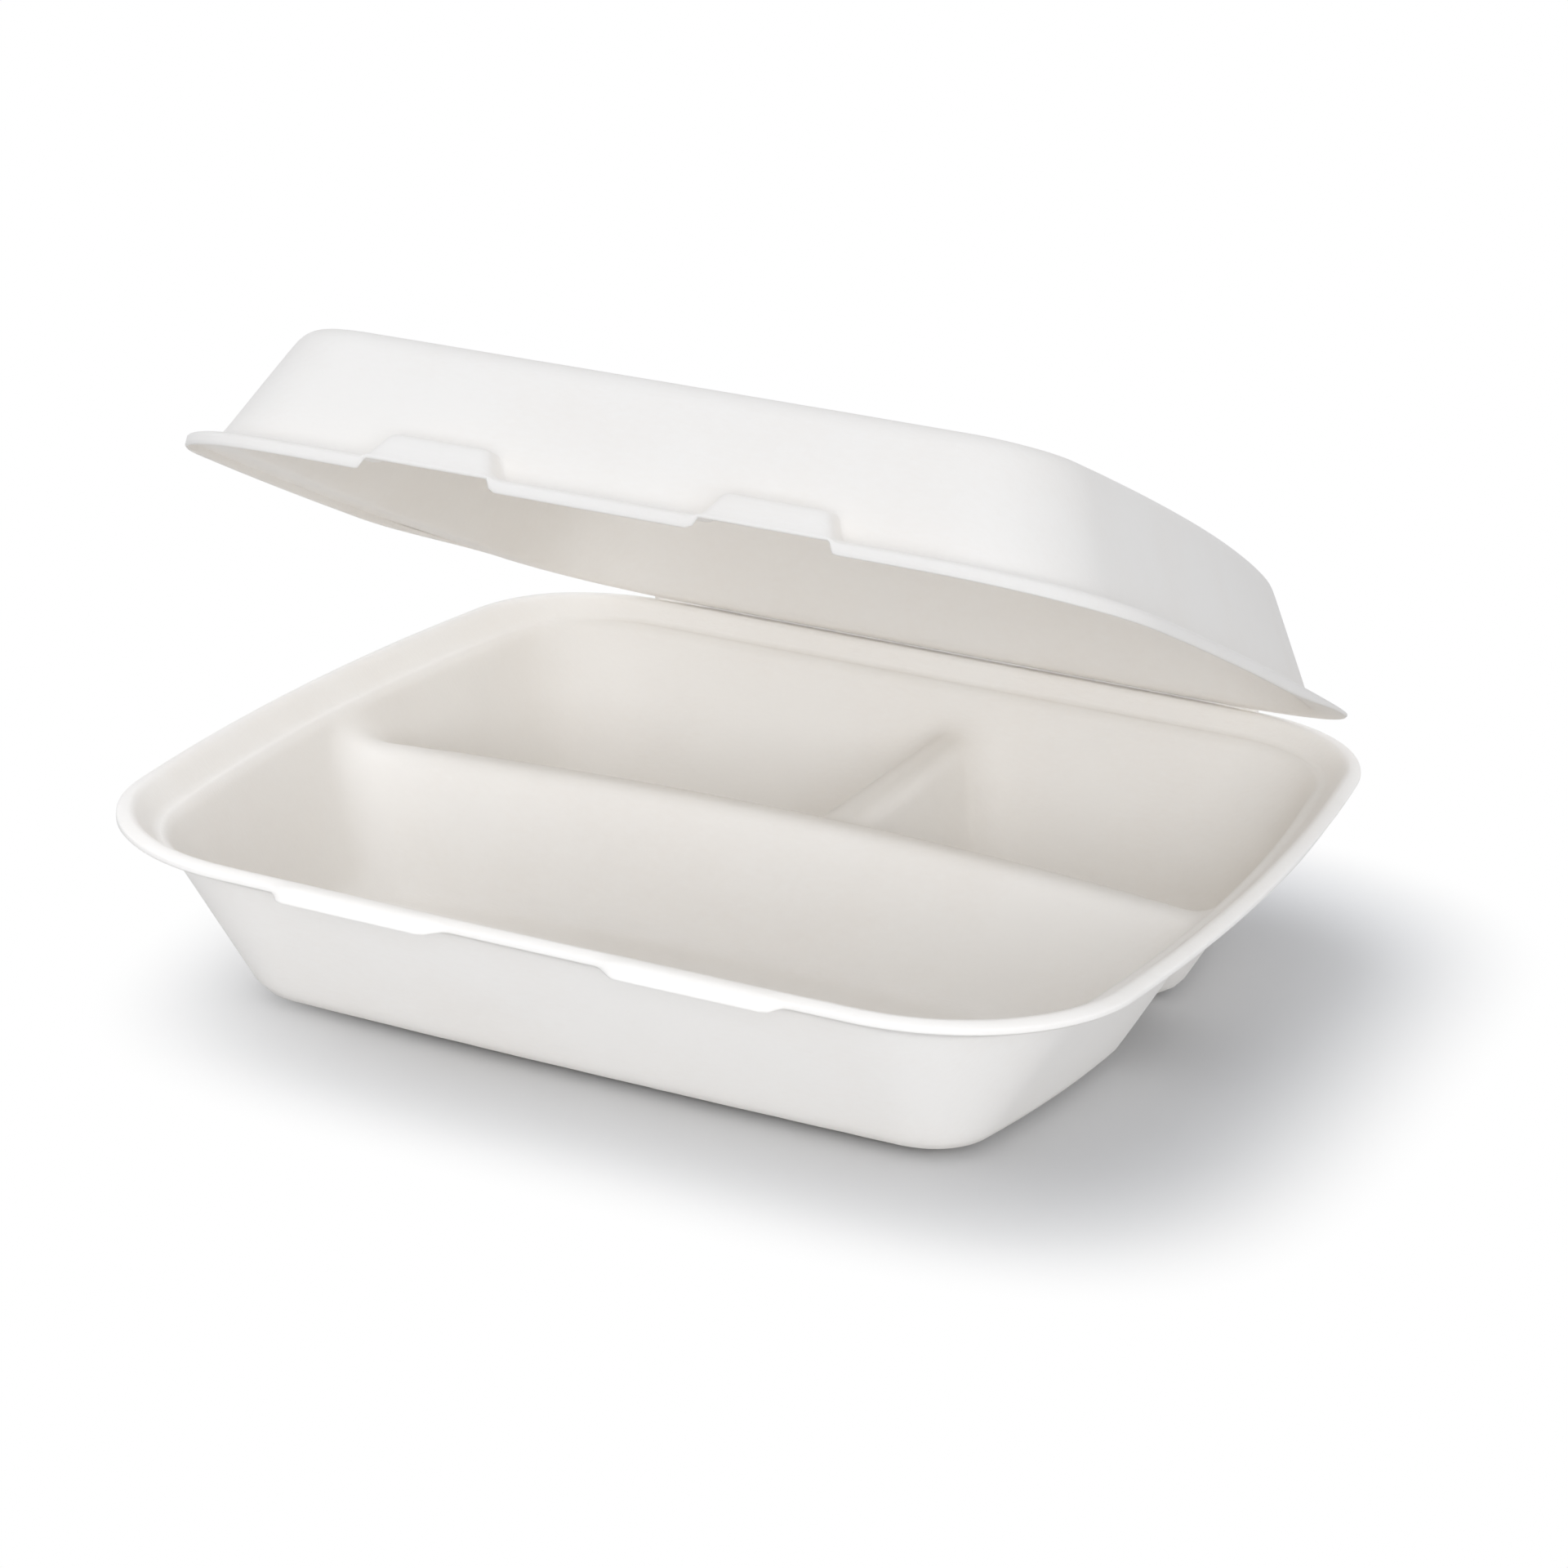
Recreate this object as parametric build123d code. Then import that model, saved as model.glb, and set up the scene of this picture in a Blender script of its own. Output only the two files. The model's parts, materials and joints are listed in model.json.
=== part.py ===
from build123d import *
import os
from math import atan2, degrees, hypot, radians, tan

# Three-compartment clamshell food container, moulded in one piece from sugarcane pulp.
# Millimetres. Z is up and Z = 0 is the surface that the tray stands on. X runs along the
# hinge, the hinge is at the back (+Y) and the two locking tongues are at the front (-Y).
# The origin is under the middle of the footprint.
# The lid is modelled shut and then turned to the angle at which it stands open.

# Sheet
wall = 0.8
closed_gap = 0.3

# Rim of the tray, to its outer edge: half its width, and its depth from front to hinge
rim_side = 115.0
rim_depth = 216.4
rim_top = 41.8
side_bow = 8.9
front_bow = 1.2
rim_front_radius = 43.5
rim_rear_radius = 36.5

# Section of the rim: a flat lip, a slope down and inward, and a narrow ledge
lip_width = 3.0
slope_width = 4.6
slope_drop = 5.0
ledge_width = 1.8
lip_droop = 2.0
rear_lip_width = 2.2
rear_slope_width = 3.0
plain_rear = 32.0

# Floor of the tray, inward from the rim's sides and front and from the hinge
floor_side_inset = 27.6
floor_front_inset = 32.7
floor_rear_inset = 31.0
floor_front_radius = 12.0
floor_rear_radius = 14.0
floor_fillet = 6.5

# Hollow dividers between the three cups
crest_height = 30.0
crest_width = 8.0
crest_round = 4.8
divider_draft = 20.0
divider_to_hinge = 92.2
divider_bow = 14.0
cross_x = 9.0
cross_drop = 2.2
cross_draft = 28.0
cup_corner = 10.0

# Locking tongues on the front of the tray's lip, and the notches that they tuck into. Their
# places and widths are shares of the front edge, from its middle to where its corner starts.
catch_share = 0.575
tongue_share = 0.607
tongue_reach = 2.6
tongue_drop = 2.4
tongue_round = 2.0
notch_share = 0.447
notch_height = 6.0
notch_lean = 3.0
notch_depth = 22.0
notch_round = 2.0

# Lid: its flange and skirt nest inside the tray's lip
skirt_drop = 2.1
skirt_gap = 0.6
lid_rear_radius = 36.0
flange_width = 7.6
rear_flange = 7.0
lid_height = 26.7
dome_front_radius = 22.0
dome_rear_radius = 24.0
top_side_inset = 24.8
top_front_inset = 18.8
top_rear_inset = 26.0
top_radius = 23.0
top_fillet = 6.9

# Angle between the lid and the tray as the container stands
open_angle = 23.0

# Places that follow from the sizes above
hinge_y = (rim_depth + tongue_reach) / 2
rim_front = rim_depth - hinge_y
front_run = rim_side - side_bow - rim_front_radius
catch_x = catch_share * front_run
tongue_width = tongue_share * front_run
notch_width = notch_share * front_run
floor_side = rim_side - floor_side_inset
floor_front = rim_front - floor_front_inset
floor_rear = hinge_y - floor_rear_inset
divider_y = hinge_y - divider_to_hinge
ledge_z = rim_top - slope_drop
slope_foot = lip_width + slope_width
rear_slope_foot = rear_lip_width + rear_slope_width
cavity_side = rim_side - slope_foot - ledge_width
cavity_front = rim_front - slope_foot - ledge_width
cavity_rear = hinge_y - rear_slope_foot - ledge_width
flange_z = rim_top + closed_gap
lid_inset = lip_width + (skirt_drop - closed_gap) * slope_width / slope_drop + skirt_gap
hinge = Axis((0, hinge_y, rim_top + closed_gap / 2), (-1, 0, 0))

# Cutting blocks reach past the whole container, and edges are picked to within a tolerance
far = 2 * rim_depth
tolerance = 0.01


def outline(side, front, rear, front_radius, rear_radius):
    """Rounded square, bowed outward at its sides and front and straight along the hinge."""
    x = side - side_bow
    y = front_bow - front
    middle = (rear - front) / 2
    face = make_face([
        ThreePointArc((-x, y), (0, -front), (x, y)),
        ThreePointArc((x, y), (side, middle), (x, rear)),
        Line((x, rear), (-x, rear)),
        ThreePointArc((-x, rear), (-side, middle), (-x, y)),
    ])
    face = fillet(face.vertices().group_by(Axis.Y)[0], front_radius)
    return fillet(face.vertices().group_by(Axis.Y)[-1], rear_radius)


def between(low, low_z, high, high_z):
    """Solid whose walls run straight from one outline up to another."""
    return loft([Pos(0, 0, low_z) * low, Pos(0, 0, high_z) * high], ruled=True)


def plate(face, low_z, high_z):
    return Pos(0, 0, low_z) * extrude(face, high_z - low_z)


def mix(low, high, share):
    return low + (high - low) * share


def miter(run, rise):
    """How far a sheet's underside turns short of its top side, at a bend down a slope."""
    return wall * tan(atan2(rise, run) / 2)


def rim_outline(inset, rear_inset):
    return outline(rim_side - inset, rim_front - inset, hinge_y - rear_inset,
                   rim_front_radius - inset, rim_rear_radius - inset)


def cavity_outline(z, skin):
    """All three cups at height z, from the food's side or a skin's thickness outside it."""
    rise = ledge_z - wall
    share = (z - wall) / rise
    side_skin = skin * hypot(1, (cavity_side - floor_side) / rise)
    front_skin = skin * hypot(1, (cavity_front - floor_front) / rise)
    rear_skin = skin * hypot(1, (cavity_rear - floor_rear) / rise)
    inset = slope_foot + ledge_width
    return outline(mix(floor_side, cavity_side, share) + side_skin,
                   mix(floor_front, cavity_front, share) + front_skin,
                   mix(floor_rear, cavity_rear, share) + rear_skin,
                   mix(floor_front_radius, rim_front_radius - inset, share) + skin,
                   mix(floor_rear_radius, rim_rear_radius - inset, share) + skin)


def ridge_section(height, draft, skin):
    """Round-topped section of a divider, from the food's side or a skin's thickness inside it."""
    foot = 2 * wall  # below the floor, so that the divider cuts right through it
    half_top = crest_width / 2
    half_foot = half_top + (height + foot) * tan(radians(draft))
    corners = [(-half_foot, -foot), (half_foot, -foot), (half_top, height), (-half_top, height)]
    face = make_face(Polyline(*corners, close=True))
    face = fillet(face.vertices().group_by(Axis.Y)[-1], crest_round)
    if skin:
        face = offset(face, amount=-skin)
    return Plane.XZ * face


def main_ridge(skin):
    """Divider that runs from side to side, bowed toward the hinge."""
    bend = (rim_side ** 2 + divider_bow ** 2) / (2 * divider_bow)
    section = Pos(0, divider_y, 0) * Rot(0, 0, 90) * ridge_section(crest_height, divider_draft, skin)
    pivot = Axis((0, divider_y - bend, 0), (0, 0, 1))
    half_turn = degrees(atan2(rim_side, bend - divider_bow))
    return revolve(section, pivot, half_turn) + revolve(section, pivot, -half_turn)


def cross_ridge(skin):
    """Divider between the two rear cups, from the main divider to the back wall."""
    section = ridge_section(crest_height - cross_drop, cross_draft, skin)
    return Pos(cross_x, divider_y, 0) * extrude(section, -(hinge_y - divider_y))


def cups(skin):
    """The space of the three cups, or with a skin the body under the sheet."""
    low = wall - skin
    body = between(cavity_outline(low, skin), low, cavity_outline(ledge_z, skin), ledge_z)
    main = main_ridge(skin)
    cross = cross_ridge(skin)
    cut = body - main - cross
    seams = new_edges(body, main, cross, combined=cut)
    risers = [edge for edge in seams if edge.center().Z > low + tolerance]
    cut = fillet(risers, cup_corner + skin)
    floor = cut.edges().filter_by_position(Axis.Z, low - tolerance, low + tolerance)
    return fillet(floor, floor_fillet + skin)


def band(low_inset, high_inset, low_z, high_z):
    """Solid between the rim's outline at two insets, each with an inset of its own at the back."""
    return between(rim_outline(*low_inset), low_z, rim_outline(*high_inset), high_z)


def rim_under():
    """Everything under the top side of the lip, the slope and the ledge."""
    front_miter = miter(slope_width, slope_drop)
    rear_miter = miter(rear_slope_width, slope_drop)
    slope = band((slope_foot - front_miter, rear_slope_foot - rear_miter),
                 (lip_width - front_miter, rear_lip_width - rear_miter),
                 ledge_z - wall, rim_top - wall)
    lip = plate(rim_outline(0, closed_gap / 2), rim_top - wall, rim_top)
    return slope + lip


def front_only(body):
    """Cuts away what lies near the hinge."""
    return body - Pos(0, hinge_y - plain_rear + far / 2, 0) * Box(far, far, far)


def droop():
    """Down-turned outer edge of the lip."""
    ring = rim_outline(0, 0) - rim_outline(wall, wall)
    return front_only(plate(ring, rim_top - lip_droop, rim_top))


def front_block(x, low_face, low_width, low_z, high_face, high_width, high_z, depth, corner):
    """Block of one tongue or notch: its front follows the rim and its two front corners are round."""
    faces = []
    for face, width in ((low_face, low_width), (high_face, high_width)):
        patch = face & Pos(x, depth - rim_front - far / 2) * Rectangle(width, far)
        corners = patch.vertices().sort_by(Axis.Y)[:2]
        faces.append(fillet(corners, corner))
    return between(faces[0], low_z, faces[1], high_z)


def tongue(x):
    """Sheet that leans out and down from the lip, and the block that it covers."""
    block = front_block(x, rim_outline(-tongue_reach, 0), tongue_width, rim_top - tongue_drop,
                        rim_outline(0, 0), tongue_width - tongue_reach, rim_top,
                        lip_width, tongue_round)
    under = Pos(0, 0, -wall * hypot(1, tongue_drop / tongue_reach)) * block
    return block - under, under


def tray():
    sheet = cups(wall) + rim_under()
    edge = droop()
    for x in (-catch_x, catch_x):
        top, under = tongue(x)
        edge = edge - under + top
    sheet += edge
    slope_space = band((slope_foot, rear_slope_foot), (lip_width, rear_lip_width), ledge_z, rim_top)
    return sheet - cups(0) - slope_space


def lid_outline(inset, rear_inset):
    side_inset = lid_inset + inset
    return outline(rim_side - side_inset, rim_front - side_inset, hinge_y - rear_inset,
                   rim_front_radius - side_inset, lid_rear_radius - inset)


def dome(skin, fillet_radius):
    """The lid's dome, or with a skin the space inside it."""
    base = outline(rim_side - lid_inset - flange_width - skin,
                   rim_front - lid_inset - flange_width - skin,
                   hinge_y - rear_flange - skin, dome_front_radius - skin, dome_rear_radius - skin)
    top = outline(rim_side - top_side_inset - skin, rim_front - top_front_inset - skin,
                  hinge_y - top_rear_inset - skin, top_radius - skin, top_radius - skin)
    body = between(base, flange_z, top, flange_z + lid_height - skin)
    return fillet(body.edges().group_by(Axis.Z)[-1], fillet_radius)


def notch(x, skin):
    """Raised notch in the flange, or with a skin the space inside it."""
    width = notch_width - 2 * skin
    return front_block(x, lid_outline(skin, skin), width, flange_z,
                       lid_outline(notch_lean + skin, skin), width - 2 * notch_lean,
                       flange_z + notch_height - skin, notch_depth, notch_round)


def lid():
    """The lid, shut."""
    inside = dome(wall, top_fillet - wall)
    sheet = dome(0, top_fillet) + plate(lid_outline(0, closed_gap / 2), flange_z, flange_z + wall)
    skirt = plate(lid_outline(0, 0) - lid_outline(wall, wall), flange_z - skirt_drop, flange_z)
    skirt = front_only(skirt)
    for x in (-catch_x, catch_x):
        sheet += notch(x, 0)
        inside += notch(x, wall)
        arch = Box(notch_width, far, 2 * skirt_drop)
        skirt -= Pos(x, -far / 2, flange_z) * arch
    return sheet + skirt - inside


os.makedirs("parts", exist_ok=True)
export_step(tray(), "parts/base_tray.step")
export_step(lid().rotate(hinge, open_angle), "parts/lid.step")
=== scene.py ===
import json
import math
import bpy
import numpy as np
from mathutils import Matrix, Vector
from mathutils.bvhtree import BVHTree


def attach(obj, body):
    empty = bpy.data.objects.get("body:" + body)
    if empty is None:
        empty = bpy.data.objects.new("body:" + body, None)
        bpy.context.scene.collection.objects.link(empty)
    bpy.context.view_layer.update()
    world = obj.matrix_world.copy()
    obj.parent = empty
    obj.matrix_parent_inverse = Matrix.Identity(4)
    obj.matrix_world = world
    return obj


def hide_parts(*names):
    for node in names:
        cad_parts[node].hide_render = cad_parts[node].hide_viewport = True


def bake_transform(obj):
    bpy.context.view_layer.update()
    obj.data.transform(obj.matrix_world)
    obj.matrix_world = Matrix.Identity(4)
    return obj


# A moulded sugarcane pulp takeaway box: divided tray, domed lid, pressed hinge.
# The pressing is drawn in millimetres and becomes metres when a mesh is made.

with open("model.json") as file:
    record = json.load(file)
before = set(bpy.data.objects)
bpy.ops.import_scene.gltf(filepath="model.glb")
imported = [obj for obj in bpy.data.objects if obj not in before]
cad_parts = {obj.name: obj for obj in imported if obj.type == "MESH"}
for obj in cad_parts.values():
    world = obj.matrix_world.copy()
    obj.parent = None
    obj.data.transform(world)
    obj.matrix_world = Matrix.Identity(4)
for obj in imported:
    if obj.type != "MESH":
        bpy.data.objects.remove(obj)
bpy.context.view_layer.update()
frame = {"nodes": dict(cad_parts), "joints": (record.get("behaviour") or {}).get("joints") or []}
scene = bpy.context.scene
mm = 0.001

hingeJoint = frame["joints"][0]
hingePoint = Vector(hingeJoint["pos_m"])
hingeAxis = Vector(hingeJoint["axis"])
shutAngle = math.radians(hingeJoint["range_deg"][0])
hingeY = hingePoint.y / mm


def aboutHinge(angle):
    there, back = Matrix.Translation(hingePoint), Matrix.Translation(-hingePoint)
    return there @ Matrix.Rotation(angle, 4, hingeAxis) @ back


# Camera, as far round and above the box as the photograph's

cameraSet = {
    "place": (346.2, -783.5, 343.2),
    "yaw": 23.418, "pitch": 19.373, "roll": 3.4,
    "lens": 97.558, "sensor": 36, "farthest": 50,
}


def setCamera(c):
    yaw, pitch, roll = (math.radians(c[k]) for k in ("yaw", "pitch", "roll"))
    ahead = Vector((-math.sin(yaw) * math.cos(pitch), math.cos(yaw) * math.cos(pitch),
                    -math.sin(pitch)))
    level = Vector((math.cos(yaw), math.sin(yaw), 0))
    up = level.cross(ahead)
    right = math.cos(roll) * level + math.sin(roll) * up
    top = -math.sin(roll) * level + math.cos(roll) * up
    lens = bpy.data.cameras.new("camera")
    lens.lens = c["lens"]
    lens.sensor_width = c["sensor"]
    lens.clip_end = c["farthest"]
    camera = bpy.data.objects.new("camera", lens)
    turn = Matrix((right, top, -ahead)).transposed().to_4x4()
    camera.matrix_world = Matrix.Translation(Vector(c["place"]) * mm) @ turn
    scene.collection.objects.link(camera)
    scene.camera = camera


setCamera(cameraSet)
print("camera set")


# Materials

def newMaterial(name):
    material = bpy.data.materials.new(name)
    material.use_nodes = True
    tree = material.node_tree
    tree.nodes.clear()
    output = tree.nodes.new("ShaderNodeOutputMaterial")
    return material, tree, output


def addNode(tree, kind, **inputs):
    node = tree.nodes.new(kind)
    for name, value in inputs.items():
        node.inputs[name.replace("_", " ")].default_value = value
    return node


def addMath(tree, operation, first, second):
    # each of the two values is a number or another node's output
    node = tree.nodes.new("ShaderNodeMath")
    node.operation = operation
    for socket, value in zip(node.inputs, (first, second)):
        if isinstance(value, bpy.types.NodeSocket):
            tree.links.new(value, socket)
        else:
            socket.default_value = value
    return node.outputs[0]


pulpLook = {
    "light": (0.966, 0.934, 0.886, 1),  # bleached cane pulp
    "dark": (0.948, 0.907, 0.852, 1),  # thicker or damp-pressed patches
    "darkUpTo": 0.34, "lightFrom": 0.56,
    "fibreInColour": 0.4,
    "patchScale": 28.0, "patchDetail": 4.0, "patchRoughness": 0.55,
    "fibreScale": 420.0, "fibreDetail": 3.0, "fibreRoughness": 0.6, "fibreStretch": 5.0,
    "fibreCrossing": 1.9, "fibreTilt": 0.35, "fibreTwist": 0.5,
    "grainScale": 1500.0, "grainDetail": 2.0,
    "roughLow": 0.72, "roughHigh": 0.95, "specular": 0.35,
    "fibreBump": 0.16, "fibreHeight": 0.0004,
    "grainBump": 0.10, "grainHeight": 0.0002,
}


def pulpMaterial(name, look, turn):
    material, tree, output = newMaterial(name)
    link = tree.links.new
    shader = addNode(tree, "ShaderNodeBsdfPrincipled")
    place = tree.nodes.new("ShaderNodeTexCoord")
    # short fibres lie all ways, so two stretched noises cross each other
    fibres = []
    for k, angle in enumerate((turn, turn + look["fibreCrossing"])):
        lay = addNode(tree, "ShaderNodeMapping", Scale=(1, look["fibreStretch"], 1),
                      Rotation=(look["fibreTwist"] * k, look["fibreTilt"], angle))
        link(place.outputs["Object"], lay.inputs["Vector"])
        noise = addNode(tree, "ShaderNodeTexNoise", Scale=look["fibreScale"],
                        Detail=look["fibreDetail"], Roughness=look["fibreRoughness"])
        link(lay.outputs["Vector"], noise.inputs["Vector"])
        fibres.append(noise)
    fibre = addNode(tree, "ShaderNodeMix", Factor=0.5)
    link(fibres[0].outputs["Fac"], fibre.inputs[2])
    link(fibres[1].outputs["Fac"], fibre.inputs[3])
    grain = addNode(tree, "ShaderNodeTexNoise", Scale=look["grainScale"], Detail=look["grainDetail"])
    patch = addNode(tree, "ShaderNodeTexNoise", Scale=look["patchScale"],
                    Detail=look["patchDetail"], Roughness=look["patchRoughness"])
    link(place.outputs["Object"], grain.inputs["Vector"])
    link(place.outputs["Object"], patch.inputs["Vector"])
    # colour: slow patches with the fibres lightly on top
    mottle = addNode(tree, "ShaderNodeMix", Factor=look["fibreInColour"])
    link(patch.outputs["Fac"], mottle.inputs[2])
    link(fibre.outputs[0], mottle.inputs[3])
    ramp = tree.nodes.new("ShaderNodeValToRGB")
    darkEnd, lightEnd = ramp.color_ramp.elements
    darkEnd.position, darkEnd.color = look["darkUpTo"], look["dark"]
    lightEnd.position, lightEnd.color = look["lightFrom"], look["light"]
    link(mottle.outputs[0], ramp.inputs["Fac"])
    link(ramp.outputs["Color"], shader.inputs["Base Color"])
    rough = addNode(tree, "ShaderNodeMapRange", To_Min=look["roughLow"], To_Max=look["roughHigh"])
    link(fibre.outputs[0], rough.inputs["Value"])
    link(rough.outputs["Result"], shader.inputs["Roughness"])
    shader.inputs["Specular IOR Level"].default_value = look["specular"]
    coarse = addNode(tree, "ShaderNodeBump", Strength=look["fibreBump"], Distance=look["fibreHeight"])
    fine = addNode(tree, "ShaderNodeBump", Strength=look["grainBump"], Distance=look["grainHeight"])
    link(fibre.outputs[0], coarse.inputs["Height"])
    link(grain.outputs["Fac"], fine.inputs["Height"])
    link(coarse.outputs["Normal"], fine.inputs["Normal"])
    link(fine.outputs["Normal"], shader.inputs["Normal"])
    link(shader.outputs["BSDF"], output.inputs["Surface"])
    return material


trayPulp = pulpMaterial("trayPulp", pulpLook, turn=0.4)
lidPulp = pulpMaterial("lidPulp", pulpLook, turn=1.2)
print("materials made")


# The plan of every pressed edge: a rounded square, bowed at its sides and front, straight at the hinge

plan = {
    "side": 115.0, "front": 106.9, "rimTop": 41.8,
    "sideBow": 8.9, "frontBow": 1.2,
    "frontRadius": 43.5, "rearRadius": 36.5,
    "hingeGap": 0.15,  # each plate ends this far short of the hinge line
    "edgeDip": 0.06,  # the first ring inside an edge lies this much under the flat
    "leanPower": 1.6,  # how soon an edge's lean dies out toward the inside
}
arcSteps = {"halfCorner": 40, "side": 120, "halfFront": 80}


def circleThrough(p, q, r):
    (ax, ay), (bx, by), (cx, cy) = p, q, r
    d = 2 * (ax * (by - cy) + bx * (cy - ay) + cx * (ay - by))
    x = ((ax**2 + ay**2) * (by - cy) + (bx**2 + by**2) * (cy - ay) + (cx**2 + cy**2) * (ay - by)) / d
    y = ((ax**2 + ay**2) * (cx - bx) + (bx**2 + by**2) * (ax - cx) + (cx**2 + cy**2) * (bx - ax)) / d
    return np.array([x, y]), math.hypot(ax - x, ay - y)


def arcPoints(centre, radius, start, end, count):
    angles = np.linspace(start, end, count)
    return centre + radius * np.stack([np.cos(angles), np.sin(angles)], -1)


def angleOf(v):
    return math.atan2(v[1], v[0])


def evenly(points, shares):
    steps = np.hypot(*np.diff(points, axis=0).T)
    run = np.concatenate([[0], np.cumsum(steps)]) / steps.sum()
    return np.stack([np.interp(shares, run, points[:, k]) for k in (0, 1)], -1)


def planSides(side, front, rear, frontRadius, rearRadius, across, along):
    # front and rear edges from left to right, then the right edge from front to rear
    x, y, middle = side - plan["sideBow"], plan["frontBow"] - front, (rear - front) / 2
    sideCentre, sideRadius = circleThrough((x, y), (side, middle), (x, rear))
    frontCentre, bigRadius = circleThrough((-x, y), (0, -front), (x, y))
    # each corner's circle touches the two edges that it rounds off
    rearY = rear - rearRadius
    rearReach = math.sqrt((sideRadius - rearRadius)**2 - (rearY - sideCentre[1])**2)
    rearCorner = np.array([sideCentre[0] + rearReach, rearY])
    apart = frontCentre - sideCentre
    d = math.hypot(*apart)
    r1, r2 = sideRadius - frontRadius, bigRadius - frontRadius
    m = (r1 * r1 - r2 * r2 + d * d) / (2 * d)
    h = math.sqrt(max(r1 * r1 - m * m, 0))
    e = apart / d
    sideways = np.array([-e[1], e[0]])
    frontCorner = max((sideCentre + m * e + s * h * sideways for s in (1, -1)), key=lambda v: v[0] - v[1])
    # the angles where the arcs meet, from the rear edge round to the front one
    a0 = math.pi / 2
    a1 = angleOf(rearCorner - sideCentre)
    a2 = angleOf(frontCorner - sideCentre)
    a3 = angleOf(frontCorner - frontCentre)
    rearSplit, frontSplit = (a0 + a1) / 2, (a2 + a3) / 2
    corner = arcSteps["halfCorner"]
    rearHalf = np.concatenate([[[0, rear]], arcPoints(rearCorner, rearRadius, a0, rearSplit, corner)])
    rightEdge = np.concatenate([
        arcPoints(rearCorner, rearRadius, rearSplit, a1, corner),
        arcPoints(sideCentre, sideRadius, a1, a2, arcSteps["side"])[1:],
        arcPoints(frontCorner, frontRadius, a2, frontSplit, corner)[1:]])
    frontHalf = np.concatenate([
        arcPoints(frontCorner, frontRadius, frontSplit, a3, corner),
        arcPoints(frontCentre, bigRadius, a3, -math.pi / 2, arcSteps["halfFront"])[1:]])
    frontEdge = np.concatenate([frontHalf * (-1, 1), frontHalf[::-1][1:]])
    rearEdge = np.concatenate([rearHalf[::-1] * (-1, 1), rearHalf[1:]])
    return evenly(frontEdge, across), evenly(rearEdge, across), evenly(rightEdge[::-1], along)


def ring(sides):
    front, rear, right = sides
    left = right * (-1, 1)
    return np.concatenate([front[:-1], right[:-1], rear[::-1][:-1], left[::-1][:-1]])


def filled(sides, across, along):
    # the grid inside the innermost ring, from its four edges
    front, rear, right = sides
    left = right * (-1, 1)
    u, v = across[:, None, None], along[None, :, None]
    leftCorners = (1 - v) * front[0] + v * rear[0]
    rightCorners = (1 - v) * front[-1] + v * rear[-1]
    corners = (1 - u) * leftCorners + u * rightCorners
    return (1 - v) * front[:, None] + v * rear[:, None] + (1 - u) * left[None] + u * right[None] - corners


def sharesOf(count, peaks, fineSteps=2000):
    # steps from 0 to 1, closer together round each peak (place, reach, extra)
    t = np.linspace(0, 1, fineSteps + 1)
    density = np.ones_like(t)
    for place, reach, extra in peaks:
        density += extra * np.exp(-((t - place) / reach)**2)
    run = np.concatenate([[0], np.cumsum((density[1:] + density[:-1]) / 2)])
    return np.interp(np.linspace(0, 1, count + 1), run / run[-1], t)


def ease(t):
    t = np.clip(t, 0, 1)
    return t * t * (3 - 2 * t)


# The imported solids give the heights

def solidTree(node, turn):
    mesh = frame["nodes"][node].data
    corners = [turn @ v.co for v in mesh.vertices]
    return BVHTree.FromPolygons(corners, [tuple(p.vertices) for p in mesh.polygons])


def castDown(solid, points, startHeight=0.3):
    # height of the pressed sheet's upper side over each point; the start is in metres
    heights = np.full(len(points), np.nan)
    for k, (x, y) in enumerate(points * mm):
        hit = solid.ray_cast(Vector((x, y, startHeight)), Vector((0, 0, -1)))[0]
        if hit is not None:
            heights[k] = hit.z / mm
    return heights


def onSolid(solid, points):
    return np.column_stack([points, castDown(solid, points)])


# A pressed sheet: rings from its edge inward, and a grid inside the last ring

edgeBulge = 0.42  # of the thickness, how far the cut edge rounds out


def pressedSheet(rings, inner, thickness, softening):
    # one closed skin: upper side, underside a sheet's thickness below it, and a round cut edge
    around = len(rings[0])
    nu, nv = inner.shape[0] - 1, inner.shape[1] - 1
    upper = np.concatenate(rings + [inner[1:-1, 1:-1].reshape(-1, 3)])
    last = (len(rings) - 1) * around
    index = np.zeros((nu + 1, nv + 1), int)
    index[1:-1, 1:-1] = len(rings) * around + np.arange((nu - 1) * (nv - 1)).reshape(nu - 1, nv - 1)
    edge = last + np.arange(around)
    index[:, 0] = edge[:nu + 1]
    index[-1, :] = edge[nu:nu + nv + 1]
    index[:, -1] = edge[nu + nv:2 * nu + nv + 1][::-1]
    index[0, 1:] = edge[2 * nu + nv:][::-1]
    quads = []
    step = np.arange(around)
    after = (step + 1) % around
    for k in range(len(rings) - 1):
        a, b = k * around, (k + 1) * around
        quads.append(np.stack([a + step, a + after, b + after, b + step], -1))
    cells = [index[:-1, :-1], index[1:, :-1], index[1:, 1:], index[:-1, 1:]]
    quads.append(np.stack(cells, -1).reshape(-1, 4))
    quads = np.concatenate(quads)
    upper = softened(upper, quads, around, softening)
    normal = normals(upper, quads)
    lower = upper - normal * thickness
    count = len(upper)
    run = np.roll(upper[:around], -1, 0) - np.roll(upper[:around], 1, 0)
    outward = np.cross(run, normal[:around])
    outward /= np.linalg.norm(outward, axis=1)[:, None]
    edgeMiddle = (upper[:around] + lower[:around]) / 2 + outward * thickness * edgeBulge
    points = np.concatenate([upper, lower, edgeMiddle])
    middle = 2 * count + step
    faces = np.concatenate([
        quads, quads[:, ::-1] + count,
        np.stack([middle, 2 * count + after, after, step], -1),
        np.stack([count + step, count + after, 2 * count + after, middle], -1)])
    return points, faces


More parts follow.
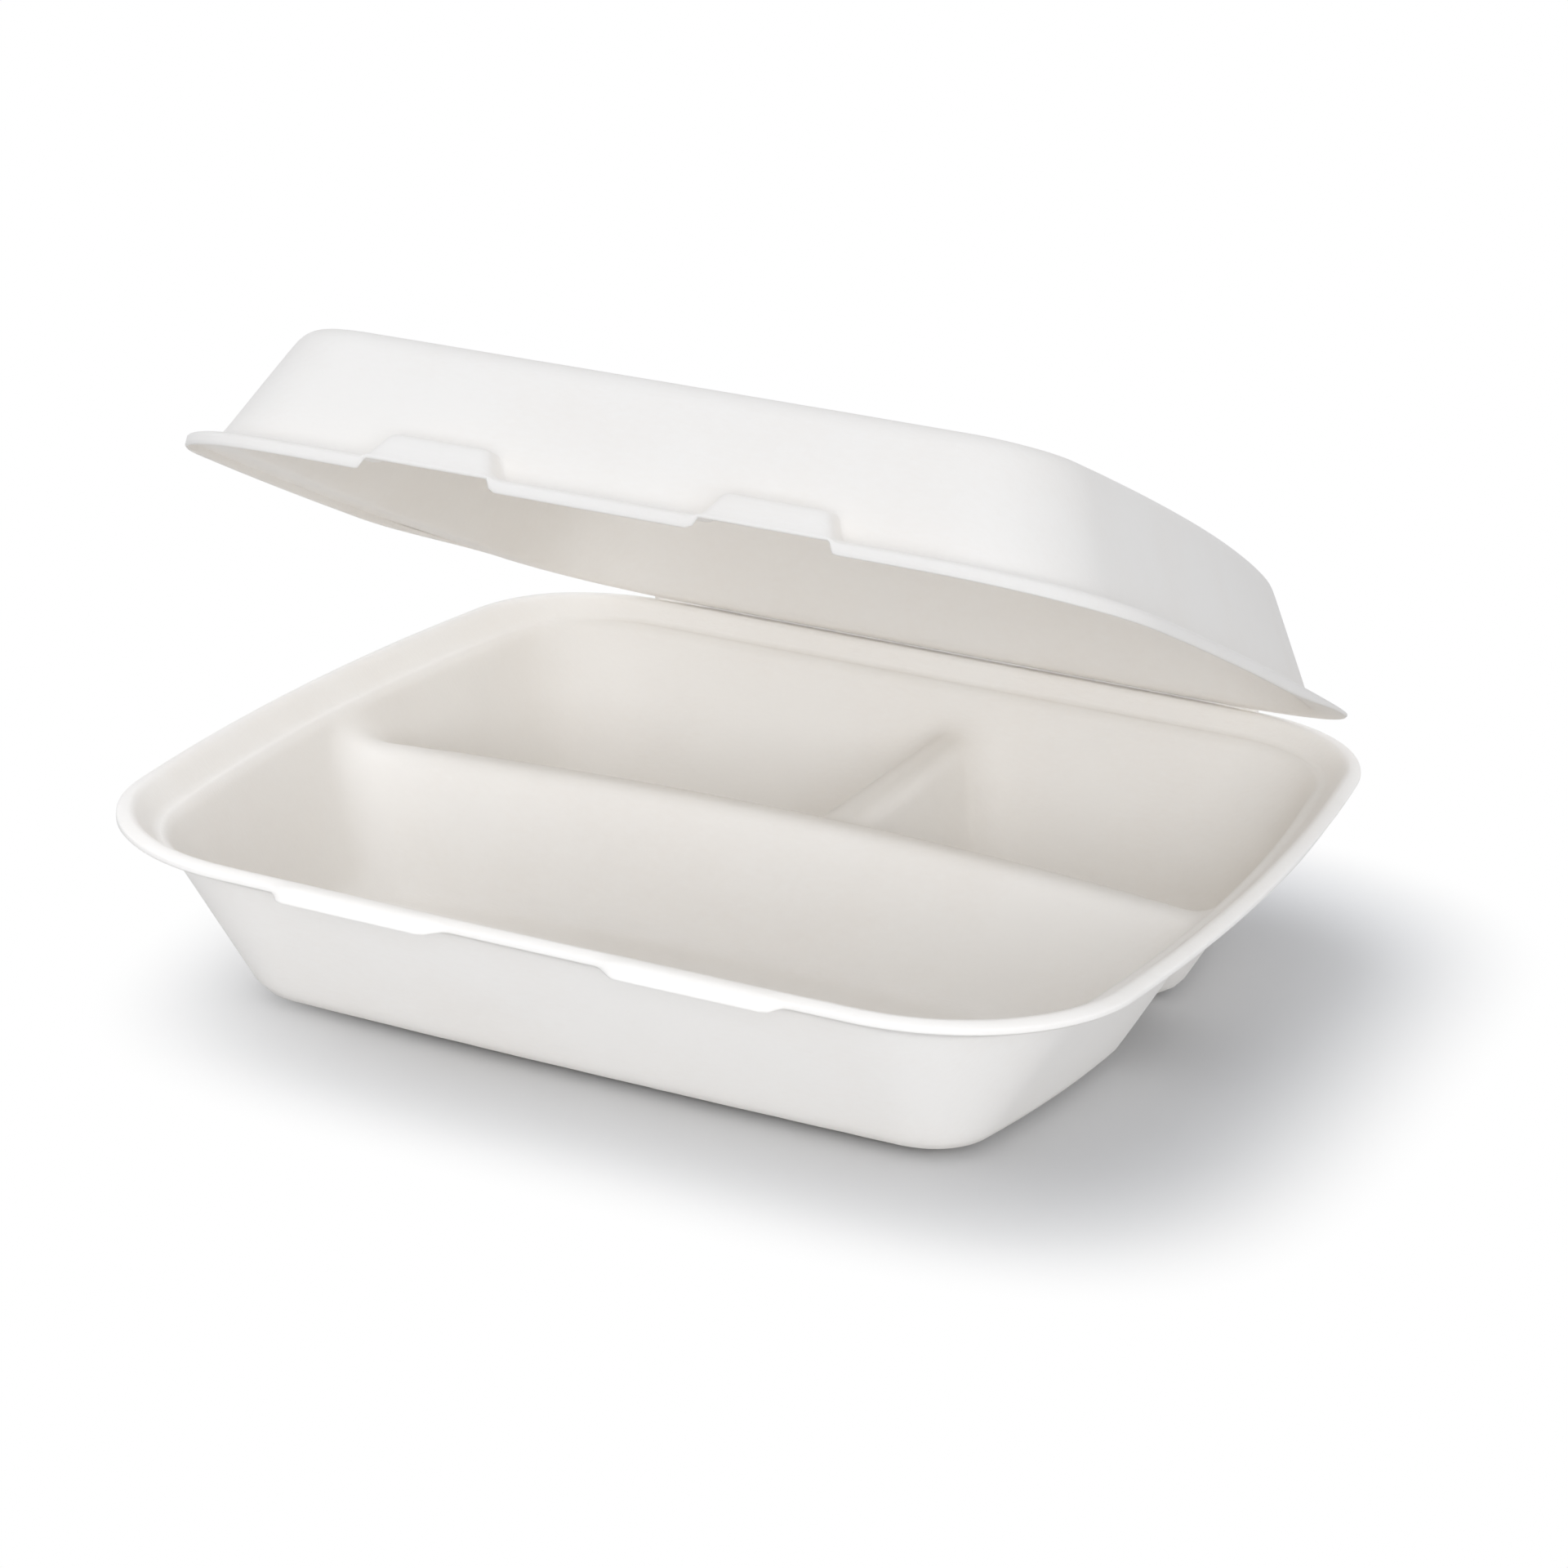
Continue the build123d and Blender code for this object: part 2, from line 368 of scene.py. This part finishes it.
def normals(points, quads):
    a, b, c, d = (points[quads[:, k]] for k in range(4))
    flat = np.cross(c - a, d - b)
    total = np.zeros_like(points)
    for k in range(4):
        np.add.at(total, quads[:, k], flat)
    return total / np.maximum(np.linalg.norm(total, axis=1), 1e-12)[:, None]


def softened(points, quads, around, rounds):
    # pressed pulp has no sharp bend, so each point moves halfway to the middle of its neighbours,
    # but the outer edge stays
    pairs = np.concatenate([quads[:, [k, (k + 1) % 4]] for k in range(4)])
    pairs = np.unique(np.sort(pairs, axis=1), axis=0)
    degree = np.bincount(pairs.ravel(), minlength=len(points))[:, None]
    for _ in range(rounds):
        total = np.zeros_like(points)
        np.add.at(total, pairs[:, 0], points[pairs[:, 1]])
        np.add.at(total, pairs[:, 1], points[pairs[:, 0]])
        moved = points + 0.5 * (total / degree - points)
        moved[:around] = points[:around]
        points = moved
    return points


def meshPiece(name, points, faces, material, turn=Matrix.Identity(4)):
    mesh = bpy.data.meshes.new(name)
    mesh.from_pydata((points * mm).tolist(), [], faces.tolist())
    mesh.transform(turn)
    mesh.materials.append(material)
    mesh.shade_smooth()
    mesh.update()
    piece = bpy.data.objects.new(name, mesh)
    scene.collection.objects.link(piece)
    return piece


# Geometry Nodes trees: how one starts, ends and is used

def newTree(name, sockets):
    tree = bpy.data.node_groups.new(name, "GeometryNodeTree")
    tree.interface.new_socket("Geometry", in_out="INPUT", socket_type="NodeSocketGeometry")
    for label, kind in sockets.items():
        tree.interface.new_socket(label, in_out="INPUT", socket_type="NodeSocket" + kind)
    tree.interface.new_socket("Geometry", in_out="OUTPUT", socket_type="NodeSocketGeometry")
    return tree, tree.nodes.new("NodeGroupInput")


def endTree(tree, shape, material):
    real = tree.nodes.new("GeometryNodeRealizeInstances")
    finish = addNode(tree, "GeometryNodeSetMaterial", Material=material)
    made = tree.nodes.new("NodeGroupOutput")
    tree.links.new(shape, real.inputs["Geometry"])
    tree.links.new(real.outputs["Geometry"], finish.inputs["Geometry"])
    tree.links.new(finish.outputs["Geometry"], made.inputs["Geometry"])


def useTree(piece, tree, values):
    modifier = piece.modifiers.new("nodes", "NODES")
    modifier.node_group = tree
    for name, value in values.items():
        socket = next(s for s in tree.interface.items_tree if s.name == name)
        modifier[socket.identifier] = value


def settle(piece):
    # the evaluated shape becomes a plain mesh, and the modifiers go
    graph = bpy.context.evaluated_depsgraph_get()
    mesh = bpy.data.meshes.new_from_object(piece.evaluated_get(graph))
    piece.modifiers.clear()
    piece.data = mesh
    mesh.shade_smooth()
    return piece


# A slow unevenness that wet pulp keeps from its screen, and fine pebbling over it

unevenness = {"swell": 0.10, "swellSize": 45.0, "pebble": 0.025, "pebbleSize": 380.0, "seed": 7.0}


def unevenTree(material):
    floats = ("Swell", "Swell Size", "Pebble", "Pebble Size", "Seed")
    tree, given = newTree("pulpUnevenness", {name: "Float" for name in floats})
    link = tree.links.new
    waves = []
    for amount, size in (("Swell", "Swell Size"), ("Pebble", "Pebble Size")):
        noise = addNode(tree, "ShaderNodeTexNoise", Detail=1.0)
        noise.noise_dimensions = "4D"
        link(given.outputs["Seed"], noise.inputs["W"])
        link(given.outputs[size], noise.inputs["Scale"])
        centred = addMath(tree, "SUBTRACT", noise.outputs[0], 0.5)
        waves.append(addMath(tree, "MULTIPLY", centred, given.outputs[amount]))
    normal = tree.nodes.new("GeometryNodeInputNormal")
    along = tree.nodes.new("ShaderNodeVectorMath")
    along.operation = "SCALE"
    link(normal.outputs[0], along.inputs[0])
    link(addMath(tree, "ADD", *waves), along.inputs["Scale"])
    place = tree.nodes.new("GeometryNodeSetPosition")
    link(given.outputs["Geometry"], place.inputs["Geometry"])
    link(along.outputs[0], place.inputs["Offset"])
    endTree(tree, place.outputs["Geometry"], material)
    return tree


def roughen(piece, material, u):
    useTree(piece, unevenTree(material), {
        "Swell": u["swell"] * mm, "Swell Size": u["swellSize"],
        "Pebble": u["pebble"] * mm, "Pebble Size": u["pebbleSize"],
        "Seed": u["seed"]})
    return settle(piece)


# Tray

tray = {
    "thickness": 0.8, "softening": 1,
    "across": 150, "along": 132,
    # where mesh lines gather along the edges: share of the edge, reach, extra
    "crossDivider": (0.545, 0.10, 1.1), "mainDivider": (0.54, 0.13, 1.3),
    # the turned-down edge from its foot up: share of the fall, and of the tongues' reach
    "edgeRings": ((1.0, 1.0), (0.66, 0.66), (0.33, 0.36), (0.12, 0.10)),
    # the lip, shoulder and ledge: inset from the side and front edges, and from the hinge
    "rimRings": ((0.35, 0.4), (1.2, 1.0), (2.1, 1.6), (3.0, 2.2), (3.9, 2.8), (4.8, 3.4), (5.8, 4.0),
                 (6.8, 4.6), (7.6, 5.2), (8.4, 6.0), (9.4, 7.0)),
    "wallRings": 17,
    "lip": 3.0, "lipRound": 0.9,  # how wide the lip is, and how far its outer side leans down
    "leanFrom": 36.0, "leanRun": 28.0, "leanSpare": 0.4,  # the edge falls at least so far past its lean
    "droop": 2.0, "rearDroop": 0.45, "fadeFrom": 95.0, "fadeRun": 70.0,
    "tongueX": 36.0, "tongueWidth": 38.0, "tongueReach": 2.6, "tongueDrop": 2.4,
    "tongueInset": 4.0, "tongueEase": 5.0, "tongueLine": -80.0,  # tongues lie in front of this line
    "floorSide": 87.4, "floorFront": 74.2, "floorRear": 78.5, "floorInset": 4.0,
    "floorFrontRadius": 12.0, "floorRearRadius": 14.0,
    "dividerY": 17.3, "dividerBow": 14.0,
}


def followDivider(grid, t):
    # rows of the floor's grid bend along with the bowed main divider
    x, y = grid[..., 0], grid[..., 1]
    bend = (plan["side"]**2 + t["dividerBow"]**2) / (2 * t["dividerBow"])
    wallX = t["floorSide"]
    atWall = t["dividerY"] - (bend - math.sqrt(bend**2 - wallX**2))
    rise = np.sqrt(bend**2 - np.minimum(np.abs(x), wallX)**2) - math.sqrt(bend**2 - wallX**2)
    low, high = grid[:, :1, 1], grid[:, -1:, 1]
    follow = np.where(y < atWall, (y - low) / (atWall - low), (high - y) / (high - atWall))
    return np.stack([x, y + rise * np.clip(follow, 0, 1)], -1)


def makeTray(t):
    solid = solidTree("base_tray", Matrix.Identity(4))
    across = sharesOf(t["across"], [t["crossDivider"]])
    along = sharesOf(t["along"], [t["mainDivider"]])

    def rimRing(inset, rearInset):
        return ring(planSides(plan["side"] - inset, plan["front"] - inset, hingeY - rearInset,
                              plan["frontRadius"] - inset, plan["rearRadius"] - inset, across, along))

    # the turned-down edge, which leans out at the tongues and runs out near the hinge
    rim = rimRing(0, plan["hingeGap"])
    outward = rim - rimRing(1.0, plan["hingeGap"])
    full = 1 - ease((rim[:, 1] - (hingeY - t["fadeFrom"])) / t["fadeRun"])
    near = np.abs(np.abs(rim[:, 0]) - t["tongueX"])
    tongue = 1 - ease((near - t["tongueWidth"] / 2 + t["tongueInset"]) / t["tongueEase"])
    tongue = tongue * (rim[:, 1] < t["tongueLine"])
    fall = t["rearDroop"] + (t["droop"] - t["rearDroop"]) * full
    lean = 1 - ease((rim[:, 1] - (hingeY - t["leanFrom"])) / t["leanRun"])
    lean = t["lipRound"] * lean * (1 - tongue)
    fall = np.maximum(fall, lean + t["leanSpare"])
    rings = []
    for share, out in t["edgeRings"]:
        reach = tongue * t["tongueReach"] * out
        drop = (lean + (fall - lean) * share) * (1 - tongue) + tongue * (t["tongueDrop"] * share)
        spot = rim + outward * reach[:, None]
        rings.append(np.column_stack([spot, plan["rimTop"] - drop]))
    for k, (inset, rearInset) in enumerate(t["rimRings"]):
        spot = rimRing(inset, rearInset)
        # the first of them lies too near the solid's edge to read its height there
        height = castDown(solid, spot) if k else np.full(len(spot), plan["rimTop"] - plan["edgeDip"])
        fade = max(1 - inset / t["lip"], 0)**plan["leanPower"]
        rings.append(np.column_stack([spot, height - lean * fade]))
    # down the walls to the floor
    ledge, rearLedge = t["rimRings"][-1]
    high = plan["side"] - ledge, plan["front"] - ledge, hingeY - rearLedge
    for k in range(1, t["wallRings"] + 1):
        s = k / t["wallRings"]
        inset = t["floorInset"] * (k == t["wallRings"])  # the last ring lies in on the floor
        low = t["floorSide"] - inset, t["floorFront"] - inset, t["floorRear"] - inset
        ends = (h + (w - h) * s for h, w in zip(high, low))
        frontRadius = (plan["frontRadius"] - ledge) * (1 - s) + t["floorFrontRadius"] * s
        rearRadius = (plan["rearRadius"] - ledge) * (1 - s) + t["floorRearRadius"] * s
        sides = planSides(*ends, frontRadius, rearRadius, across, along)
        rings.append(onSolid(solid, ring(sides)))
    grid = followDivider(filled(sides, across, along), t)
    inner = onSolid(solid, grid.reshape(-1, 2)).reshape(*grid.shape[:2], 3)
    points, faces = pressedSheet(rings, inner, t["thickness"], t["softening"])
    piece = meshPiece("pressedTray", points, faces, trayPulp)
    return roughen(piece, trayPulp, unevenness)


trayPiece = makeTray(tray)
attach(trayPiece, "tray")
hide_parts("base_tray")
print("tray pressed", len(trayPiece.data.polygons))


# Lid, drawn shut and then opened with the solid

lid = {
    "thickness": 0.8, "softening": 2,
    "across": 160, "along": 110,
    "edgeInset": 5.256, "rearRadius": 36.0, "gap": 0.3,
    # the skirt from its foot up, as shares of its fall
    "skirtRings": (1.0, 0.66, 0.34, 0.12),
    "skirt": 2.1, "rearSkirt": 0.5, "fadeFrom": 98.0, "fadeRun": 72.0,
    # the flange, as shares of the way from its edge to the dome's foot
    "flangeRings": (0.045, 0.13, 0.23, 0.34, 0.45, 0.57, 0.69, 0.81, 0.92),
    "flange": 7.6, "rearFlange": 7.0,
    "edgeRound": 0.8, "roundReach": 0.5,  # how far the edge leans down, and over what share
    "domeFrontRadius": 22.0, "domeRearRadius": 24.0,
    "wallRings": 16, "wallStart": 0.03,
    "topSide": 24.8, "topFront": 18.8, "topRear": 26.0, "topRadius": 23.0,
    "topRings": 9, "topInset": 10.0, "topEase": 1.2,
    "notchX": 36.0, "notchWidth": 28.0, "notchInset": 0.6, "notchEase": 1.6,
    "notchLine": -60.0,  # notches lie in front of this line
    # mesh lines gather on the notches' slopes: how far in from their ends, reach, extra, and half the
    # length of the front edge
    "slopeInset": 1.5, "slopeReach": 0.012, "slopeExtra": 1.6, "frontHalf": 92.0,
}


def makeLid(t):
    solid = solidTree("lid", aboutHinge(shutAngle))
    slopes = [t["notchX"] + s * (t["notchWidth"] / 2 - t["slopeInset"]) for s in (-1, 1)]
    peaks = [(0.5 + sign * x / (2 * t["frontHalf"]), t["slopeReach"], t["slopeExtra"])
             for x in slopes for sign in (-1, 1)]
    across = sharesOf(t["across"], peaks)
    along = sharesOf(t["along"], [])

    side, front = plan["side"] - t["edgeInset"], plan["front"] - t["edgeInset"]
    edge = ring(planSides(side, front, hingeY - plan["hingeGap"],
                          plan["frontRadius"] - t["edgeInset"], t["rearRadius"], across, along))
    full = 1 - ease((edge[:, 1] - (hingeY - t["fadeFrom"])) / t["fadeRun"])
    near = np.abs(np.abs(edge[:, 0]) - t["notchX"])
    notch = 1 - ease((near - t["notchWidth"] / 2 + t["notchInset"]) / t["notchEase"])
    notch = notch * (edge[:, 1] < t["notchLine"])
    full = full * (1 - notch)
    fall = t["rearSkirt"] + (t["skirt"] + t["thickness"] - t["rearSkirt"]) * full
    lean = t["edgeRound"] * full
    top = plan["rimTop"] + t["gap"] + t["thickness"]
    rings = []
    for share in t["skirtRings"]:
        rings.append(np.column_stack([edge, top - lean - (fall - lean) * share]))
    base = (side - t["flange"], front - t["flange"], hingeY - t["rearFlange"],
            t["domeFrontRadius"], t["domeRearRadius"])
    # the flange lies between the edge and the dome's foot, whose corners are tighter
    foot = ring(planSides(*base, across, along))
    for k, share in enumerate(t["flangeRings"]):
        spot = edge + (foot - edge) * share
        height = castDown(solid, spot)
        if k == 0:
            height = np.fmax(height, top) - plan["edgeDip"]
        fade = max(1 - share / t["roundReach"], 0)**plan["leanPower"]
        rings.append(np.column_stack([spot, height - lean * fade]))
    crown = (plan["side"] - t["topSide"], plan["front"] - t["topFront"], hingeY - t["topRear"],
             t["topRadius"], t["topRadius"])
    for k in range(t["wallRings"] + 1):
        s = t["wallStart"] + (1 - t["wallStart"]) * k / t["wallRings"]
        sides = planSides(*(b + (c - b) * s for b, c in zip(base, crown)), across, along)
        rings.append(onSolid(solid, ring(sides)))
    for k in range(1, t["topRings"] + 1):
        inset = t["topInset"] * (k / t["topRings"])**t["topEase"]
        sides = planSides(*(c - inset for c in crown), across, along)
        rings.append(onSolid(solid, ring(sides)))
    grid = filled(sides, across, along)
    inner = onSolid(solid, grid.reshape(-1, 2)).reshape(*grid.shape[:2], 3)
    points, faces = pressedSheet(rings, inner, t["thickness"], t["softening"])
    piece = meshPiece("pressedLid", points, faces, lidPulp, aboutHinge(-shutAngle))
    return roughen(piece, lidPulp, unevenness)


lidPiece = makeLid(lid)
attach(lidPiece, "cover")
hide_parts("lid")
print("lid pressed", len(lidPiece.data.polygons))


# Hinge: a thin bent web of pulp behind the pressed fold, which joins the tray's lip to the lid's flange

hinge = {
    "halfLength": 77.0, "sheet": 0.4,
    "bendPoints": 13, "cuts": 61,
    # the bend's cross-section at rest, as (y, z)
    "trayEnd": (108.75, 41.42), "back": (110.05, 42.1), "lidEnd": (109.2, 42.95),
    # past the straight run, the web follows both plates' corners
    "straight": 68.0, "trayLag": 2.0, "cornerRadius": 36.5,
    # the bend flattens into the plates at its ends
    "thinFrom": 58.0, "thinRun": 18.0, "thinShare": 0.8, "thinToward": 0.25,
    "blendFrom": 41.6, "blendTo": 42.5,
}


def webTree(material, h):
    tree, given = newTree("hingeWeb", {"Half Length": "Float", "Tray End": "Vector", "Back": "Vector",
                                       "Lid End": "Vector"})
    link = tree.links.new
    # the bend is drawn flat, and swept along the hinge
    bend = addNode(tree, "GeometryNodeCurveArc", Resolution=h["bendPoints"])
    bend.mode = "POINTS"
    for name, socket in (("Tray End", "Start"), ("Back", "Middle"), ("Lid End", "End")):
        link(given.outputs[name], bend.inputs[socket])
    run = tree.nodes.new("GeometryNodeCurvePrimitiveLine")
    for sign, socket in ((-1, "Start"), (1, "End")):
        end = tree.nodes.new("ShaderNodeCombineXYZ")
        link(addMath(tree, "MULTIPLY", given.outputs["Half Length"], sign), end.inputs["X"])
        link(end.outputs[0], run.inputs[socket])
    cuts = addNode(tree, "GeometryNodeResampleCurve", Count=h["cuts"])
    link(run.outputs["Curve"], cuts.inputs["Curve"])
    upright = tree.nodes.new("GeometryNodeSetCurveNormal")
    upright.mode = "Z_UP"
    link(cuts.outputs["Curve"], upright.inputs["Curve"])
    # half a turn, so that the drawing's x and y come out as the box's y and z
    turned = addNode(tree, "GeometryNodeSetCurveTilt", Tilt=math.pi)
    link(upright.outputs["Curve"], turned.inputs["Curve"])
    sweep = tree.nodes.new("GeometryNodeCurveToMesh")
    link(turned.outputs["Curve"], sweep.inputs["Curve"])
    link(bend.outputs["Curve"], sweep.inputs["Profile Curve"])
    endTree(tree, sweep.outputs["Mesh"], material)
    return tree


def spreadEnds(spots, h):
    # the corners of the two plates leave the hinge line, and the web's ends spread between them
    spots = spots.copy()
    thin = h["thinShare"] * ease((np.abs(spots[:, 0]) - h["thinFrom"]) / h["thinRun"])
    inner = h["trayEnd"][0] + h["thinToward"]
    spots[:, 1] = inner + (spots[:, 1] - inner) * (1 - thin)
    past = np.maximum(np.abs(spots[:, 0]) - h["straight"], 0)
    trayTurn = np.maximum(past - h["trayLag"], 0)**2 / (2 * h["cornerRadius"])
    lidTurn = past**2 / (2 * h["cornerRadius"])
    lowZ, highZ = h["trayEnd"][1], h["lidEnd"][1]
    share = np.clip((spots[:, 2] - lowZ) / (highZ - lowZ), 0, 1)
    spots[:, 1] -= trayTurn * (1 - share) + lidTurn * share * math.cos(shutAngle)
    spots[:, 2] -= lidTurn * share * math.sin(shutAngle)
    return spots


def makeWeb(h, material):
    mesh = bpy.data.meshes.new("hingeWeb")
    web = bpy.data.objects.new("hingeWeb", mesh)
    scene.collection.objects.link(web)
    ends = {name: (h[key][0] * mm, h[key][1] * mm, 0.0)
            for name, key in (("Tray End", "trayEnd"), ("Back", "back"), ("Lid End", "lidEnd"))}
    useTree(web, webTree(material, h), {"Half Length": h["halfLength"] * mm, **ends})
    sheet = web.modifiers.new("sheet", "SOLIDIFY")
    sheet.thickness = h["sheet"] * mm
    sheet.offset = 0.0
    settle(web)
    spots = np.empty(len(web.data.vertices) * 3)
    web.data.vertices.foreach_get("co", spots)
    spots = spreadEnds(spots.reshape(-1, 3) / mm, h)
    web.data.vertices.foreach_set("co", (spots * mm).ravel())
    web.data.update()
    return web


webPiece = makeWeb(hinge, trayPulp)
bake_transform(webPiece)
print("hinge web bent", len(webPiece.data.polygons))


# Studio: white paper underneath, white all round, and soft lamps

studio = {
    "world": 0.625,
    "worldColour": (0.93, 0.953, 1.0, 1),
    "lampColour": (0.92, 0.95, 1.0),  # a little cool, as daylight lamps are
    # angles in degrees; the elevation is over the floor, and the azimuth is 0 in front of the box
    "lamps": (
        {"name": "side", "strength": 0.60, "azimuth": -115, "elevation": 60, "angle": 40,
         "lights": "all", "shadow": True},
        {"name": "low", "strength": 1.85, "azimuth": 24, "elevation": 2, "angle": 60,
         "lights": "box", "shadow": True},
        {"name": "front", "strength": 0.72, "azimuth": 24, "elevation": 8, "angle": 60,
         "lights": "tray", "shadow": True},
        {"name": "fill", "strength": 0.42, "azimuth": 0, "elevation": 80, "angle": 60,
         "lights": "tray", "shadow": False},
    ),
    "floorSize": 12.0, "floorColour": 0.84,
    # the paper fades to plain white between these distances, in metres
    "whiteFrom": 0.082, "whiteTo": 0.14, "whiteCentre": (-0.02, -0.01, 0.0),
}


def lampGroup(name, pieces):
    group = bpy.data.collections.new(name)
    scene.collection.children.link(group)
    for piece in pieces:
        group.objects.link(piece)
    return group


def makeLamps(s, lit):
    for lamp in s["lamps"]:
        light = bpy.data.lights.new(lamp["name"], "SUN")
        light.energy = lamp["strength"]
        light.angle = math.radians(lamp["angle"])
        light.color = s["lampColour"]
        light.use_shadow = lamp["shadow"]
        sun = bpy.data.objects.new(lamp["name"], light)
        a, e = math.radians(lamp["azimuth"]), math.radians(lamp["elevation"])
        toward = Vector((math.sin(a) * math.cos(e), -math.cos(a) * math.cos(e), math.sin(e)))
        sun.rotation_mode = "QUATERNION"
        sun.rotation_quaternion = toward.to_track_quat("Z", "Y")
        scene.collection.objects.link(sun)
        if lamp["lights"] in lit:
            sun.light_linking.receiver_collection = lit[lamp["lights"]]


def makeWorld(s):
    # a cool light on the box, and plain white where the camera sees it
    world = bpy.data.worlds.new("studio")
    world.use_nodes = True
    tree = world.node_tree
    tree.nodes.clear()
    link = tree.links.new
    seen = tree.nodes.new("ShaderNodeLightPath").outputs["Is Camera Ray"]
    strength = addNode(tree, "ShaderNodeMapRange", To_Min=s["world"], To_Max=1.0)
    tint = tree.nodes.new("ShaderNodeMix")
    tint.data_type = "RGBA"
    tint.inputs[6].default_value = s["worldColour"]
    tint.inputs[7].default_value = (1, 1, 1, 1)
    back = tree.nodes.new("ShaderNodeBackground")
    output = tree.nodes.new("ShaderNodeOutputWorld")
    link(seen, strength.inputs["Value"])
    link(seen, tint.inputs["Factor"])
    link(tint.outputs[2], back.inputs["Color"])
    link(strength.outputs["Result"], back.inputs["Strength"])
    link(back.outputs[0], output.inputs["Surface"])
    scene.world = world


def makeFloor(s):
    # paper close by, where the shadow lies, and further out plain white, which only the camera sees
    half = s["floorSize"] / 2
    corners = [(-half, -half, 0), (half, -half, 0), (half, half, 0), (-half, half, 0)]
    mesh = bpy.data.meshes.new("paper")
    mesh.from_pydata(corners, [], [(0, 1, 2, 3)])
    floor = bpy.data.objects.new("paper", mesh)
    scene.collection.objects.link(floor)
    material, tree, output = newMaterial("paper")
    link = tree.links.new
    paper = addNode(tree, "ShaderNodeBsdfDiffuse", Color=(s["floorColour"],) * 3 + (1,))
    white = addNode(tree, "ShaderNodeEmission", Color=(1, 1, 1, 1))
    place = tree.nodes.new("ShaderNodeTexCoord")
    # squared and then measured, so that the white begins on a rounded square round the box
    centred = addNode(tree, "ShaderNodeMapping", Location=s["whiteCentre"])
    squared = tree.nodes.new("ShaderNodeVectorMath")
    squared.operation = "MULTIPLY"
    far = tree.nodes.new("ShaderNodeVectorMath")
    far.operation = "LENGTH"
    fade = addNode(tree, "ShaderNodeMapRange", From_Min=s["whiteFrom"]**2, From_Max=s["whiteTo"]**2)
    fade.interpolation_type = "SMOOTHSTEP"
    link(place.outputs["Object"], centred.inputs["Vector"])
    link(centred.outputs["Vector"], squared.inputs[0])
    link(centred.outputs["Vector"], squared.inputs[1])
    link(squared.outputs[0], far.inputs[0])
    link(far.outputs["Value"], fade.inputs["Value"])
    seen = tree.nodes.new("ShaderNodeLightPath").outputs["Is Camera Ray"]
    mix = tree.nodes.new("ShaderNodeMixShader")
    link(addMath(tree, "MULTIPLY", seen, fade.outputs["Result"]), mix.inputs["Fac"])
    link(paper.outputs[0], mix.inputs[1])
    link(white.outputs[0], mix.inputs[2])
    link(mix.outputs[0], output.inputs["Surface"])
    mesh.materials.append(material)


makeLamps(studio, {"box": lampGroup("boxPieces", (trayPiece, lidPiece, webPiece)),
                   "tray": lampGroup("trayPieces", (trayPiece, webPiece))})
makeWorld(studio)
makeFloor(studio)
scene.view_settings.view_transform = "Standard"
print("studio lit")
